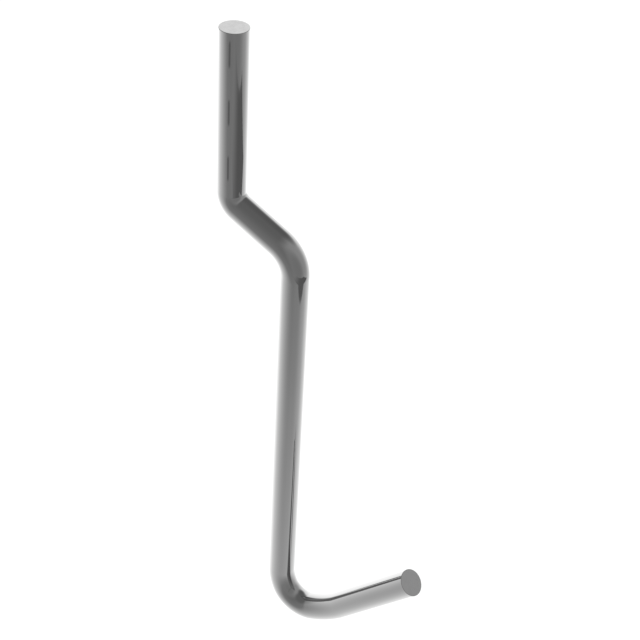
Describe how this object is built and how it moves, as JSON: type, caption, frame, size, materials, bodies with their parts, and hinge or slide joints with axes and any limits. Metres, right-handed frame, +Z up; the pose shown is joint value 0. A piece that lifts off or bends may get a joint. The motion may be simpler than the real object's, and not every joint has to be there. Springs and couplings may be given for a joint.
{
  "type": "pegboard hook",
  "caption": "Plated round-wire hook for a perforated board: upright peg behind the board, sloping jog through its hole, long shank down the front and an arm that rises forward to hold a tool.",
  "frame": {"origin": "on the peg's axis, where its straight run meets the first bend", "axes": "+Z up along the peg, +X forward out of the board's front, Y across the wire's plane"},
  "size_m": [0.0428, 0.0048, 0.1128],
  "materials": {
    "plated_wire": "polished bright plating on drawn steel wire"
  },
  "bodies": {
    "root": {"hook": "plated_wire"}
  },
  "joints": []
}
